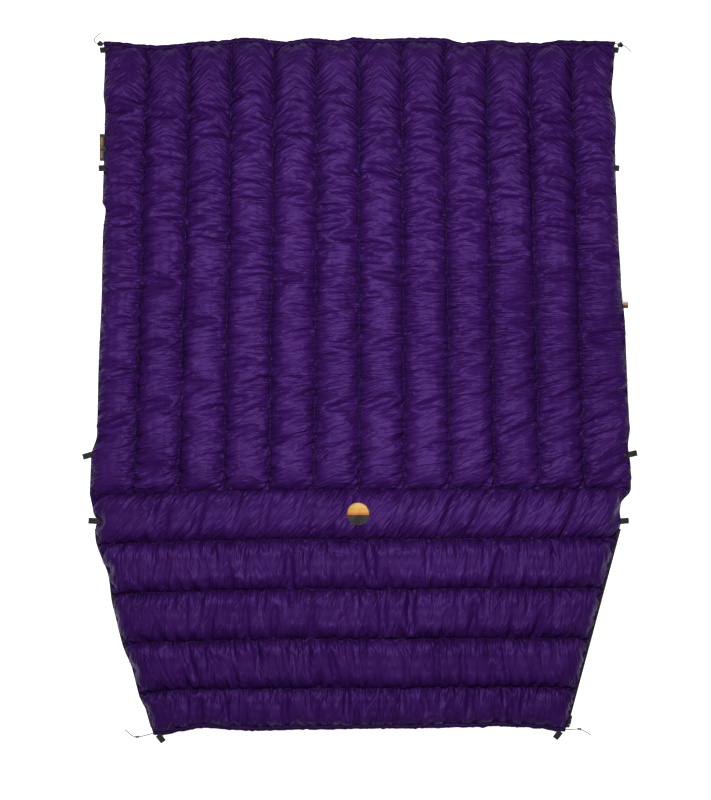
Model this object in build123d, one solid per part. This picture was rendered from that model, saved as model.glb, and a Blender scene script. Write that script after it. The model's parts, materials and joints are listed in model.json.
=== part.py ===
from build123d import *
import math
import os

# Camp quilt, lying flat and open. Millimetres, +Z up, head towards +Y.
# The origin is on the floor, below the middle of the quilt's box.

# ---- cut of the quilt ----
HEAD_WIDTH = 1385.0
WAIST_WIDTH = 1467.0
FOOT_WIDTH = 1115.0
BODY_LENGTH = 1215.0  # head edge to the cross seam, drawcord channel included
FOOT_LENGTH = 656.0  # cross seam to the foot edge, drawcord channel included
LOFT = 30.0  # height of a filled chamber above the floor
CLOTH = 0.8  # drawn thickness of one layer of cloth
HEM = 12.0  # flat hem along both sides
GAP = 0.3  # play between soft pieces

# ---- chambers ----
BODY_CHAMBERS = 12
HEAD_PITCH = 115.0
WAIST_PITCH = 122.0
FOOT_CHAMBERS = 5
FOOT_PITCH = 135.0
SEAM_LAND = 0.3  # from a seam to the start of the outer cloth's curve
END_LAND = 3.0
TAPER = 55.0  # length over which a chamber closes down at each end
END_RISE = 4.0

# ---- drawcord channels ----
CHANNEL_WIDTH = 12.0
CHANNEL_HEIGHT = 7.0
CHANNEL_WALL = 1.6
CHANNEL_ROUND = 2.0
CORD_DIAMETER = 2.2
CORD_Z = CHANNEL_HEIGHT / 2

# ---- tabs, loops, labels ----
RIBBON_WIDTH = 15.5
RIBBON_THICK = 1.0
HEAD_TAB_FROM_HEAD = 24.0
HEAD_TAB_OUT = 9.0
HEAD_TAB_IN = 11.0
FOOT_TAB_LENGTH = 24.0
FOOT_TAB_THICK = 2.0
FOOT_TAB_LEAN = 35.0  # degrees from straight down, towards the middle
FOOT_TAB_FROM_CORNER = 13.0
LOOP_WIDTH = 16.0
LOOP_FROM_HEAD = (344.0, 1120.0, 1300.0)
LOOP_SEWN = 8.0  # how far a loop reaches in over the hem
LOOP_OUT = 19.0  # from the quilt's edge to the start of the loop's fold
LOOP_HEIGHT = 6.4
LABEL_SIZE = (18.0, 73.0)
LABEL_FROM_HEAD = 288.0
TAG_SIZE = (19.0, 19.0)
TAG_FROM_HEAD = 714.0
LABEL_THICK = 0.6
LABEL_SEWN = 6.0  # width of a label that lies on the hem
PATCH_RADIUS = 30.0
PATCH_FROM_HEAD = 1280.0

# ---- neck snap ----
SNAP_RADIUS = 5.5
SNAP_HEIGHT = 1.8
SNAP_FROM_HEAD = 18.5
SNAP_FROM_SIDE = 6.2
SOCKET_RADIUS = 2.6
STUD_RADIUS = 2.3
STUD_HEIGHT = 1.6
SHANK_RADIUS = 1.5
SHANK_IN_FACE = 0.8
SHANK_PLAY = 0.1
FLANGE_RADIUS = 4.0

# ---- cord lock ----
LOCK_LENGTH = 15.4  # along the cord
LOCK_DEPTH = 11.0  # along the plunger
LOCK_THICK = 6.8
LOCK_HOLE_RADIUS = 1.6
LOCK_FLOOR = 0.9  # wall below the spring
LOCK_ROUND = 1.8
HOLE_OFFSET = 1.8  # from the middle of the lock to its cord hole
PLUNGER_WIDTH = 6.6
PLUNGER_THICK = 4.0
PLUNGER_PLAY = 0.2
PLUNGER_FOOT = 1.2  # solid below the slot
PLUNGER_TRAVEL = 2.4
PLUNGER_OUT = 2.7  # how far the button stands out of the lock
SPRING_RADIUS = 1.5
SPRING_WIRE = 0.4
SPRING_TURNS = 3.0
SPRING_PLAY = 0.05

# ---- zip ----
ZIP_FROM_HEAD = 1322.0
ZIP_START = 14.0  # from the foot corner along the edge, clear of the channel's corner
TAPE_IN = 6.0
TAPE_OUT = 4.0
TAPE_THICK = 0.6
COIL_WIDTH = 2.6
COIL_HEIGHT = 2.2
STOP_LENGTH = 4.0
END_FITTING = 8.0  # length of the retainer box and of the insertion pin
BOX_REACH = 3.6  # the retainer box beyond the tape, where the pin goes in
PIN_THICK = 1.2
SLIDER_WIDTH = 7.6
SLIDER_LENGTH = 10.0
SLIDER_PLATE = 1.0
SLIDER_LIP = 0.8
SLIDER_LOW = 0.3  # underside of the slider above the floor
EAR_OFFSET = 1.9
EAR_REACH = 1.3
EAR_THICK = 0.8
PULL_LENGTH = 20.0
PULL_WIDTH = 5.0
PULL_THICK = 1.2
PULL_STEM = 2.4
PIN_RADIUS = 0.6
PIN_PLAY = 0.08
CROSS_PIN_LENGTH = 4.0

# ---- free cord ends: (outward, along Y, height) from the channel's mouth ----
HEAD_TAIL_RIGHT = ((0, 0, 0), (28, -6.4, -0.2), (44, -22.5, -2.2))
HEAD_TAIL_LEFT = (
    (0, 0, 0),
    (19.5, -0.3, 0),
    (27, 6.5, -0.6),
    (25.5, 17, -1.5),
    (14.5, 28.5, -2.3),
)
FOOT_TAIL_RIGHT = ((0, 0, 0), (14, 0.2, -0.2), (31, 2.6, 0.7), (46.5, 1, 0.4), (70, -15, -2.3))
FOOT_TAIL_LEFT = (
    (0, 0, 0),
    (15, -7.5, -0.3),
    (35, -15.5, 0.7),
    (51, -19.5, 0.4),
    (65, -12, -1.6),
    (77, 0, -2.3),
)
HEAD_TAILS = {"left": HEAD_TAIL_LEFT, "right": HEAD_TAIL_RIGHT}
FOOT_TAILS = {"left": FOOT_TAIL_LEFT, "right": FOOT_TAIL_RIGHT}
LOCK_DISTANCE = {"left": 9.2, "right": 15.0}  # from the mouth to the middle of the lock
KNOT_RADIUS = 4.0
KNOT_LENGTH = 13.0
KNOT_ROUND = 3.2

# ---- places that follow from the sizes above ----
LEAN = math.radians(FOOT_TAB_LEAN)
TAB_DROP = FOOT_TAB_LENGTH * math.cos(LEAN) + RIBBON_WIDTH / 2 * math.sin(LEAN)
HEAD_Y = (BODY_LENGTH + FOOT_LENGTH + TAB_DROP) / 2
WAIST_Y = HEAD_Y - BODY_LENGTH
FOOT_Y = WAIST_Y - FOOT_LENGTH
BODY_TOP_Y = HEAD_Y - CHANNEL_WIDTH
FOOT_END_Y = FOOT_Y + CHANNEL_WIDTH
HEM_TOP = 2 * CLOTH
COIL_Z = HEM_TOP + TAPE_THICK
SLIDER_START = ZIP_START + END_FITTING + 1.0
SLIDER_TOP = COIL_Z + COIL_HEIGHT + GAP
SLIDER_INNER = TAPE_OUT - COIL_WIDTH - 0.4
SLIDER_MIDDLE = SLIDER_INNER + SLIDER_WIDTH / 2
PIN_ALONG = SLIDER_START + SLIDER_LENGTH / 2
PIN_Z = SLIDER_TOP + SLIDER_PLATE + 1.3
SIDES = {"left": -1, "right": 1}
ON_FLOOR = (Align.CENTER, Align.CENTER, Align.MIN)
ON_FLOOR_FROM_LEFT = (Align.MIN, Align.CENTER, Align.MIN)


def half_width(y):
    """Half the width of the quilt at y."""
    if y >= WAIST_Y:
        part = (HEAD_Y - y) / BODY_LENGTH
        return (HEAD_WIDTH + (WAIST_WIDTH - HEAD_WIDTH) * part) / 2
    part = (WAIST_Y - y) / FOOT_LENGTH
    return (WAIST_WIDTH + (FOOT_WIDTH - WAIST_WIDTH) * part) / 2


def on_side(piece, side):
    """A piece drawn for the right side, mirrored if it's for the left."""
    return piece if side > 0 else piece.mirror(Plane.YZ)


def panel(levels, z, thick):
    """A flat piece of cloth between the quilt's side edges, bent only at the given levels."""
    right = [(half_width(y), y) for y in levels]
    left = [(-x, y) for x, y in reversed(right)]
    outline = make_face(Polyline(*right, *left, close=True))
    return Pos(0, 0, z) * extrude(outline, thick)


def dome(chamber, side_gap, end_gap, base, top):
    """A chamber's closed form: an arc between its two seams, closing down at both ends.

    A chamber is its first seam's two ends, then its second seam's two ends."""
    near_start, near_end, far_start, far_end = (Vector(*p, base) for p in chamber)
    length = (near_end - near_start).length
    sections = []
    for place, rise in (
        (end_gap, END_RISE),
        (end_gap + TAPER, top - base),
        (length - end_gap - TAPER, top - base),
        (length - end_gap, END_RISE),
    ):
        near = near_start + (near_end - near_start) * (place / length)
        far = far_start + (far_end - far_start) * (place / length)
        across = (far - near).normalized() * side_gap
        near, far = near + across, far - across
        crown = (near + far) / 2 + Vector(0, 0, rise)
        sections.append(make_face([ThreePointArc(near, crown, far), Line(far, near)]))
    return loft(sections, ruled=True)


def body_chambers():
    """The lengthwise chambers, from left to right."""

    def seam(number):
        if number in (0, BODY_CHAMBERS):
            side = -1 if number == 0 else 1
            head, waist = (side * (half_width(y) - HEM) for y in (BODY_TOP_Y, WAIST_Y))
        else:
            head, waist = ((number - BODY_CHAMBERS / 2) * p for p in (HEAD_PITCH, WAIST_PITCH))
        return (head, BODY_TOP_Y), (waist, WAIST_Y)

    return [(*seam(i), *seam(i + 1)) for i in range(BODY_CHAMBERS)]


def foot_chambers():
    """The crosswise chambers, from the cross seam to the foot."""
    levels = [WAIST_Y - i * FOOT_PITCH for i in range(FOOT_CHAMBERS)] + [FOOT_END_Y]
    found = []
    for upper, lower in zip(levels, levels[1:]):
        wide, narrow = half_width(upper) - HEM, half_width(lower) - HEM
        found.append(((-wide, upper), (wide, upper), (-narrow, lower), (narrow, lower)))
    return found


def shell(levels, chambers):
    """Outer cloth: a flat panel raised over every chamber."""
    cloth = panel(levels, CLOTH, CLOTH)
    domes = [dome(c, SEAM_LAND, END_LAND, CLOTH, LOFT) for c in chambers]
    hollows = [
        dome(c, SEAM_LAND + CLOTH, END_LAND + CLOTH, CLOTH, LOFT - CLOTH) for c in chambers
    ]
    return cloth + domes - hollows


def fill(chamber):
    """Insulation of one chamber, resting on the lining."""
    inset = SEAM_LAND + CLOTH + GAP
    return dome(chamber, inset, END_LAND + CLOTH + 2 * GAP, CLOTH, LOFT - CLOTH - GAP)


def channel(width, y, outward):
    """A folded hem with room for a drawcord; outward is the side that faces off the quilt."""
    outer = Rectangle(CHANNEL_WIDTH, CHANNEL_HEIGHT)
    corners = outer.vertices().sort_by(Axis.X)
    outer = fillet(corners[2:] if outward > 0 else corners[:2], CHANNEL_ROUND)
    room = CHANNEL_HEIGHT - 2 * CHANNEL_WALL
    inner = RectangleRounded(CHANNEL_WIDTH - 2 * CHANNEL_WALL, room, CHANNEL_ROUND / 2)
    section = Plane(origin=(-width / 2, y, CORD_Z), x_dir=(0, 1, 0), z_dir=(1, 0, 0))
    return extrude(section * (outer - inner), width)


def straight_cord(width, y):
    """The stretch of a drawcord inside its channel."""
    section = Plane(origin=(-width / 2, y, CORD_Z), x_dir=(0, 1, 0), z_dir=(1, 0, 0))
    return extrude(section * Circle(CORD_DIAMETER / 2), width)


def route(tail, side, mouth_x, mouth_y):
    """A free cord's points in the quilt's frame."""
    return [Vector(side * (mouth_x + u), mouth_y + v, CORD_Z + w) for u, v, w in tail]


def corner_radii(points):
    """The largest arc that each corner's two runs allow."""
    radii = []
    for a, b, c in zip(points, points[1:], points[2:]):
        half_turn = math.radians((b - a).get_angle(c - b)) / 2
        radii.append(0.45 * min((b - a).length, (c - b).length) / math.tan(half_turn))
    return radii


def free_cord(name, points):
    """A tube of straight runs joined by tangent arcs."""
    radii = corner_radii(points)
    path = FilletPolyline(*points, radius=radii)
    start = Plane(origin=points[0], z_dir=points[1] - points[0])
    tube = sweep(start * Circle(CORD_DIAMETER / 2), path)
    wanted = math.pi * CORD_DIAMETER**2 / 4 * path.length
    print(name, "length", round(path.length, 1), "radii", [round(r, 1) for r in radii])
    print(name, "volume against section times length", round(tube.volume / wanted, 4))
    return tube


def knot(cord, start, end):
    """A stopper knot round the cord between two of its points."""
    along = end - start
    bead = Cylinder(KNOT_RADIUS, KNOT_LENGTH)
    bead = fillet(bead.edges(), KNOT_ROUND)
    bead = Plane(origin=(start + end) / 2, z_dir=along) * bead
    return bead - cord


def lock_frame(points, distance):
    """A cord lock's frame: its middle on the cord, X along the cord, Y along the plunger."""
    along = points[1] - points[0]
    flat = Vector(along.X, along.Y, 0).normalized()
    button = Vector(0, 0, 1).cross(flat)
    if button.Y < 0:
        button = -button
    centre = points[0] + flat * distance
    return Plane(origin=centre, x_dir=flat, z_dir=flat.cross(button))


def lock_body():
    """Flat oval housing with a pocket for the plunger and a hole for the cord."""
    middle = -HOLE_OFFSET
    plan = RectangleRounded(LOCK_LENGTH, LOCK_DEPTH, 0.42 * LOCK_DEPTH)
    housing = extrude(Pos(0, middle) * plan, LOCK_THICK / 2, both=True)
    rims = housing.faces().filter_by(Axis.Z).edges()
    housing = fillet(rims, LOCK_ROUND)
    pocket_depth = LOCK_DEPTH - LOCK_FLOOR
    pocket = Box(
        PLUNGER_WIDTH + 2 * PLUNGER_PLAY,
        pocket_depth,
        PLUNGER_THICK + 2 * PLUNGER_PLAY,
        align=(Align.CENTER, Align.MAX, Align.CENTER),
    )
    top = middle + LOCK_DEPTH / 2
    hole = Rot(0, 90, 0) * Cylinder(LOCK_HOLE_RADIUS, 2 * LOCK_LENGTH)
    return housing - Pos(0, top, 0) * pocket - hole


def plunger():
    """Button and slotted stem; the spring holds the slot's lower edge against the cord."""
    top = LOCK_DEPTH / 2 - HOLE_OFFSET + PLUNGER_OUT
    slot_low = -LOCK_HOLE_RADIUS
    slot_high = LOCK_HOLE_RADIUS + PLUNGER_TRAVEL + PLUNGER_PLAY / 2
    bottom = slot_low - PLUNGER_FOOT
    stem = Pos(0, (top + bottom) / 2, 0) * Box(PLUNGER_WIDTH, top - bottom, PLUNGER_THICK)
    stem = fillet(stem.faces().sort_by(Axis.Y)[-1].edges(), 0.8)
    slot = Box(2 * PLUNGER_WIDTH, slot_high - slot_low, 2 * LOCK_HOLE_RADIUS)
    return stem - Pos(0, (slot_high + slot_low) / 2, 0) * slot


def lock_spring():
    """Coil spring between the pocket's floor and the plunger."""
    floor = -LOCK_DEPTH / 2 - HOLE_OFFSET + LOCK_FLOOR
    ceiling = -LOCK_HOLE_RADIUS - PLUNGER_FOOT
    height = ceiling - floor - SPRING_WIRE - 2 * SPRING_PLAY
    helix = Helix(height / SPRING_TURNS, height, SPRING_RADIUS)
    wire = sweep(Plane(origin=helix @ 0, z_dir=helix % 0) * Circle(SPRING_WIRE / 2), helix)
    return Pos(0, floor + SPRING_WIRE / 2 + SPRING_PLAY, 0) * Rot(-90, 0, 0) * wire


def head_tab(side):
    """Ribbon sewn on the hem at a head corner, under the snap."""
    y = HEAD_Y - HEAD_TAB_FROM_HEAD
    length = HEAD_TAB_IN + HEAD_TAB_OUT
    plate = Box(length, RIBBON_WIDTH, RIBBON_THICK, align=ON_FLOOR_FROM_LEFT)
    plate = Pos(half_width(y) - HEAD_TAB_IN, y, HEM_TOP) * plate
    hole = Pos(*snap_place(1), HEM_TOP) * Cylinder(SHANK_RADIUS + SHANK_PLAY, 4 * RIBBON_THICK)
    return on_side(plate - hole, side)


def foot_tab(side):
    """Ribbon folded double, hanging from the foot channel's face and leaning inwards."""
    plate = Box(RIBBON_WIDTH, 2 * FOOT_TAB_LENGTH, FOOT_TAB_THICK)
    corner = Pos(FOOT_WIDTH / 2 - FOOT_TAB_FROM_CORNER, FOOT_Y, CORD_Z)
    plate = corner * Rot(0, 0, -FOOT_TAB_LEAN) * plate
    reach = 4 * FOOT_TAB_LENGTH
    below = corner * Box(reach, reach, reach, align=(Align.CENTER, Align.MAX, Align.CENTER))
    return on_side(plate & below, side)


def snap_place(side):
    """Middle of a snap, seen from above."""
    y = HEAD_Y - SNAP_FROM_HEAD
    return side * (half_width(y) - SNAP_FROM_SIDE), y


def snap_face(kind):
    """Upper half of a snap: a ring with a hollow, or one with a stud."""
    ring = Cylinder(SNAP_RADIUS, SNAP_HEIGHT, align=ON_FLOOR)
    ring = fillet(ring.edges().sort_by(Axis.Z)[-1], 0.4 * SNAP_HEIGHT)
    if kind == "socket":
        ring -= Pos(0, 0, SNAP_HEIGHT) * Cylinder(SOCKET_RADIUS, STUD_HEIGHT)
    else:
        ring += Pos(0, 0, SNAP_HEIGHT) * Cylinder(STUD_RADIUS, STUD_HEIGHT, align=ON_FLOOR)
    return ring - Cylinder(SHANK_RADIUS + SHANK_PLAY / 2, 2 * SHANK_IN_FACE + SHANK_PLAY)


def snap_post():
    """Lower half of a snap: a flange flush with the lining, and a shank up through the hem."""
    flange = Cylinder(FLANGE_RADIUS, CLOTH, align=ON_FLOOR)
    shank_height = HEM_TOP + RIBBON_THICK + SHANK_IN_FACE
    return flange + Cylinder(SHANK_RADIUS, shank_height, align=ON_FLOOR)


def loop_face(low, high, sewn_end, bend_start, sewn_thick):
    """Side view of a ribbon loop: open beyond the edge, closing down to its sewn end."""
    radius = (high - low) / 2
    fold_tip = (LOOP_OUT + radius, low + radius)
    sewn_top = low + sewn_thick
    closing = (
        (LOOP_OUT, high),
        (LOOP_SEWN, high),
        (bend_start, sewn_top),
        (sewn_end, sewn_top),
        (sewn_end, low),
    )
    return make_face(
        [
            Line((sewn_end, low), (LOOP_OUT, low)),
            ThreePointArc((LOOP_OUT, low), fold_tip, (LOOP_OUT, high)),
            Polyline(*dict.fromkeys(closing)),
        ]
    )


def pad_loop(side, from_head):
    """Ribbon loop sewn flat on the hem and standing open beyond the edge."""
    low, high = HEM_TOP, HEM_TOP + LOOP_HEIGHT
    outer = loop_face(low, high, -LOOP_SEWN, -0.25 * LOOP_SEWN, 2 * RIBBON_THICK)
    inner = loop_face(low + RIBBON_THICK, high - RIBBON_THICK, 0, 0, 0.8 * RIBBON_THICK)
    y = HEAD_Y - from_head
    section = Plane(origin=(half_width(y), y, 0), x_dir=(1, 0, 0), z_dir=(0, -1, 0))
    ribbon = extrude(section * (outer - inner), LOOP_WIDTH / 2, both=True)
    return on_side(ribbon, side)


def side_flag(side, size, from_head):
    """A woven label that stands out beyond the side edge."""
    y = HEAD_Y - from_head
    plate = Box(*size, LABEL_THICK, align=ON_FLOOR_FROM_LEFT)
    return on_side(Pos(half_width(y) - LABEL_SEWN, y, HEM_TOP) * plate, side)


def round_patch(chamber):
    """A disc of cloth that follows the chamber's crown."""
    y = HEAD_Y - PATCH_FROM_HEAD
    raised = dome(chamber, SEAM_LAND, END_LAND, CLOTH, LOFT + CLOTH)
    under = dome(chamber, SEAM_LAND, END_LAND, CLOTH, LOFT)
    return (raised - under) & (Pos(0, y, LOFT) * Cylinder(PATCH_RADIUS, 4 * PATCH_RADIUS))


def zip_frame():
    """Frame of the right zip: X along it from the foot corner, Y in over the quilt, Z up."""
    start = Vector(FOOT_WIDTH / 2, FOOT_Y, 0)
    along = Vector(WAIST_WIDTH / 2, WAIST_Y, 0) - start
    return Plane(origin=start, x_dir=along, z_dir=(0, 0, 1))


def zip_length():
    """From the foot corner to the top of the zip, along the edge."""
    return (HEAD_Y - ZIP_FROM_HEAD - FOOT_Y) / zip_frame().x_dir.Y


def zip_block(start, end, inner, outer, low, high):
    """A block in the zip's frame; inner and outer are distances off the quilt's edge."""
    block = Box(end - start, outer - inner, high - low, align=(Align.MIN, Align.MIN, Align.MIN))
    return zip_frame() * Pos(start, -outer, low) * block


def zip_beads(start, end, outer, height):
    """A row of teeth or a fitting on the tape's outer edge."""
    return zip_block(start, end, TAPE_OUT - COIL_WIDTH, outer, COIL_Z, COIL_Z + height)


def zip_tape(side):
    tape = zip_block(ZIP_START, zip_length(), -TAPE_IN, TAPE_OUT, HEM_TOP, HEM_TOP + TAPE_THICK)
    return on_side(tape, side)


def zip_coil(side):
    start, end = ZIP_START + END_FITTING, zip_length() - STOP_LENGTH
    return on_side(zip_beads(start, end, TAPE_OUT, COIL_HEIGHT), side)


def top_stop(side):
    end = zip_length()
    return on_side(zip_beads(end - STOP_LENGTH, end, TAPE_OUT, COIL_HEIGHT), side)


def retainer_box():
    """Socket at the foot end of the right zip, which takes the other side's pin."""
    start, end = ZIP_START, ZIP_START + END_FITTING
    box = zip_beads(start, end, TAPE_OUT + BOX_REACH, COIL_HEIGHT)
    low = COIL_Z + (COIL_HEIGHT - PIN_THICK) / 2
    mouth = TAPE_OUT + BOX_REACH - 0.7
    return box - zip_block(start + 2, end + 1, TAPE_OUT + 0.6, mouth, low, low + PIN_THICK)


def insertion_pin():
    return on_side(zip_beads(ZIP_START, ZIP_START + END_FITTING, TAPE_OUT, PIN_THICK), -1)


def zip_slider():
    """Two plates joined by a divider, with two ears and a cross pin for the pull."""
    start, end = SLIDER_START, SLIDER_START + SLIDER_LENGTH
    inner, outer = SLIDER_INNER, SLIDER_INNER + SLIDER_WIDTH
    top = SLIDER_TOP + SLIDER_PLATE
    rim = outer - SLIDER_LIP
    body = zip_block(start, end, inner, outer, SLIDER_LOW, SLIDER_LOW + SLIDER_PLATE)
    body += zip_block(start, end, inner, outer, SLIDER_TOP, top)
    body += zip_block(end - 0.45 * SLIDER_LENGTH, end, TAPE_OUT + GAP, TAPE_OUT + 1.3, SLIDER_LOW, top)
    body += zip_block(start, end, rim, outer, SLIDER_LOW, HEM_TOP + SLIDER_LIP)
    body += zip_block(start, end, rim, outer, SLIDER_TOP - SLIDER_LIP, top)
    for offset in (-EAR_OFFSET, EAR_OFFSET):
        ear_start, ear_end = PIN_ALONG - EAR_REACH, PIN_ALONG + EAR_REACH
        ear_inner = SLIDER_MIDDLE + offset - EAR_THICK / 2
        body += zip_block(ear_start, ear_end, ear_inner, ear_inner + EAR_THICK, top, PIN_Z + 1.1)
    return body + cross_pin(PIN_RADIUS, CROSS_PIN_LENGTH)


def cross_pin(radius, length):
    """A cylinder across the zip through the pull's pivot."""
    return zip_frame() * Pos(PIN_ALONG, -SLIDER_MIDDLE, PIN_Z) * Rot(90, 0, 0) * Cylinder(radius, length)


def zip_pull():
    """Flat tab with an eye round the slider's cross pin, lying back towards the head."""

    def strip(start, end, width):
        inner, low = SLIDER_MIDDLE - width / 2, PIN_Z - PULL_THICK / 2
        return zip_block(PIN_ALONG + start, PIN_ALONG + end, inner, inner + width, low, low + PULL_THICK)

    stem_end = PULL_LENGTH / 4
    tab = strip(stem_end - 1, PULL_LENGTH, PULL_WIDTH)
    tab = fillet(tab.edges().filter_by(Axis.Z), PULL_WIDTH / 4)
    eye = cross_pin(PIN_RADIUS + PULL_THICK / 2, PULL_STEM)
    return eye + strip(0, stem_end, PULL_STEM) + tab - cross_pin(PIN_RADIUS + PIN_PLAY, 2 * PULL_STEM)


def cut_for_snaps(cloth, radius):
    """Cloth with a hole for each snap."""
    for side in SIDES.values():
        cloth -= Pos(*snap_place(side), 0) * Cylinder(radius, 20)
    return cloth


def save(name, shape):
    """One node: its solid, or its group of solids."""
    solids = shape.solids()
    whole = solids[0] if len(solids) == 1 else Compound(children=solids)
    export_step(whole, f"parts/{name}.step")


def save_cloth():
    body = shell((BODY_TOP_Y, WAIST_Y), body_chambers())
    save("outer_shell_body", cut_for_snaps(body, SHANK_RADIUS + SHANK_PLAY))
    save("outer_shell_foot", shell((WAIST_Y, FOOT_END_Y), foot_chambers()))
    lining = panel((BODY_TOP_Y, WAIST_Y, FOOT_END_Y), 0, CLOTH)
    save("lining", cut_for_snaps(lining, FLANGE_RADIUS + SHANK_PLAY))
    for number, chamber in enumerate(body_chambers(), 1):
        save(f"body_fill_{number:02d}", fill(chamber))
    for number, chamber in enumerate(foot_chambers(), 1):
        save(f"foot_fill_{number}", fill(chamber))


def save_drawcords():
    save("head_channel", channel(HEAD_WIDTH, HEAD_Y - CHANNEL_WIDTH / 2, 1))
    save("foot_channel", channel(FOOT_WIDTH, FOOT_Y + CHANNEL_WIDTH / 2, -1))
    save("head_drawcord", straight_cord(HEAD_WIDTH, HEAD_Y - CHANNEL_WIDTH / 2))
    save("foot_drawcord", straight_cord(FOOT_WIDTH, FOOT_Y + CHANNEL_WIDTH / 2))


def save_tails():
    head_mouth = HEAD_WIDTH / 2, HEAD_Y - CHANNEL_WIDTH / 2
    foot_mouth = FOOT_WIDTH / 2, FOOT_Y + CHANNEL_WIDTH / 2
    for name, side in SIDES.items():
        head = route(HEAD_TAILS[name], side, *head_mouth)
        save(f"head_cord_{name}", free_cord(f"head_cord_{name}", head))
        foot = route(FOOT_TAILS[name], side, *foot_mouth)
        cord = free_cord(f"foot_cord_{name}", foot)
        save(f"foot_cord_{name}", cord)
        save(f"foot_knot_{name}", knot(cord, foot[2], foot[3]))
        frame = lock_frame(head, LOCK_DISTANCE[name])
        print(f"cord_lock_{name} at", frame.origin, "along", frame.x_dir, "depth", frame.y_dir)
        save(f"cord_lock_{name}", frame * lock_body())
        save(f"lock_plunger_{name}", frame * plunger())
        save(f"lock_spring_{name}", frame * lock_spring())


def save_trim():
    for name, side in SIDES.items():
        save(f"head_tab_{name}", head_tab(side))
        save(f"foot_tab_{name}", foot_tab(side))
        save(f"pad_loops_{name}", Compound(children=[pad_loop(side, d) for d in LOOP_FROM_HEAD]))
        kind = "stud" if side < 0 else "socket"
        x, y = snap_place(side)
        save(f"snap_{kind}_{name}", Pos(x, y, HEM_TOP + RIBBON_THICK) * snap_face(kind))
        save(f"snap_post_{name}", Pos(x, y, 0) * snap_post())
    save("side_label", side_flag(-1, LABEL_SIZE, LABEL_FROM_HEAD))
    save("small_tag", side_flag(1, TAG_SIZE, TAG_FROM_HEAD))
    save("round_patch", round_patch(foot_chambers()[0]))


def save_zip():
    for name, side in SIDES.items():
        save(f"zip_tape_{name}", zip_tape(side))
        save(f"zip_coil_{name}", zip_coil(side))
    save("zip_top_stops", Compound(children=[top_stop(side) for side in SIDES.values()]))
    save("zip_retainer_box", retainer_box())
    save("zip_insertion_pin", insertion_pin())
    save("zip_slider", zip_slider())
    save("zip_pull", zip_pull())
    pivot = zip_frame().from_local_coords((PIN_ALONG, -SLIDER_MIDDLE, PIN_Z))
    print("zip along", zip_frame().x_dir, "pull pivot", pivot)
    print("slider travel", zip_length() - STOP_LENGTH - 1 - SLIDER_START - SLIDER_LENGTH)


os.makedirs("parts", exist_ok=True)
save_cloth()
save_drawcords()
save_tails()
save_trim()
save_zip()
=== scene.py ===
import json
import math

import bpy
import numpy as np
from mathutils import Matrix, Vector
from mathutils.bvhtree import BVHTree


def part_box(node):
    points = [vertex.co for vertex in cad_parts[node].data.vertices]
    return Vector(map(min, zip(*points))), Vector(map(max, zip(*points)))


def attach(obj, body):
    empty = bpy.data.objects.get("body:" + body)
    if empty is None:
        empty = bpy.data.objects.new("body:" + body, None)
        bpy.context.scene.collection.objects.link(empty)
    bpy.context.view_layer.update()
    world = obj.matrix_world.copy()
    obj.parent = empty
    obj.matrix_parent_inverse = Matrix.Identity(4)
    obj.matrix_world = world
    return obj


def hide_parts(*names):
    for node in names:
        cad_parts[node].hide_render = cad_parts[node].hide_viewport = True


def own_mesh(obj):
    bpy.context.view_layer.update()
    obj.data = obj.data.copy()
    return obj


# A down quilt lying open on a pale floor, seen from straight above. Metres, +Z up, head towards +Y.

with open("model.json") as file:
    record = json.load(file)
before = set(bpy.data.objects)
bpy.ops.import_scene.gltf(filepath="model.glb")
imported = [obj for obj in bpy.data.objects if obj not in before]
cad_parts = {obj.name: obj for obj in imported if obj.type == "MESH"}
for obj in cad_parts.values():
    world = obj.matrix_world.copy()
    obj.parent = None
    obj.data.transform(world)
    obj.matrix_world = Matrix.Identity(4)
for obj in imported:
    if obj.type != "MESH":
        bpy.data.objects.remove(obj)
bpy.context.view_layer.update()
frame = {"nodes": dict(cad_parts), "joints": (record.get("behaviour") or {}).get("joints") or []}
nodes = frame["nodes"]
random = np.random.default_rng(7)

# ---- sizes read from the frame ----
HEAD_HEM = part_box("head_channel")
FOOT_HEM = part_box("foot_channel")
HEAD_Y = HEAD_HEM[1].y
FOOT_Y = FOOT_HEM[0].y
WAIST_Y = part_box("outer_shell_foot")[1].y
HEAD_HALF = HEAD_HEM[1].x
WAIST_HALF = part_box("lining")[1].x
FOOT_HALF = FOOT_HEM[1].x
HEM_DEPTH = HEAD_HEM[1].y - HEAD_HEM[0].y
HEM_HEIGHT = HEAD_HEM[1].z
CORD_Z = HEM_HEIGHT / 2
BODY_LENGTH = HEAD_Y - WAIST_Y
FOOT_LENGTH = WAIST_Y - FOOT_Y

# ---- the quilt ----
BODY_CHAMBERS = 12
HEAD_PITCH = 0.115
WAIST_PITCH = 0.122
FOOT_CHAMBERS = 5
FOOT_PITCH = 0.135
SEAM_Z = 0.004
EDGE_Z = 0.0016
CLOTH = 0.0004
CORD_DIAMETER = 0.0022
CRUMPLE = 0.0022  # depth of the small creases
LOFT_TOP = 0.0385
FULL_ACROSS = 1.12  # cloth cut for a chamber, against the distance between its seams
FULL_ALONG = 1.075  # cloth gathered along a seam

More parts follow.
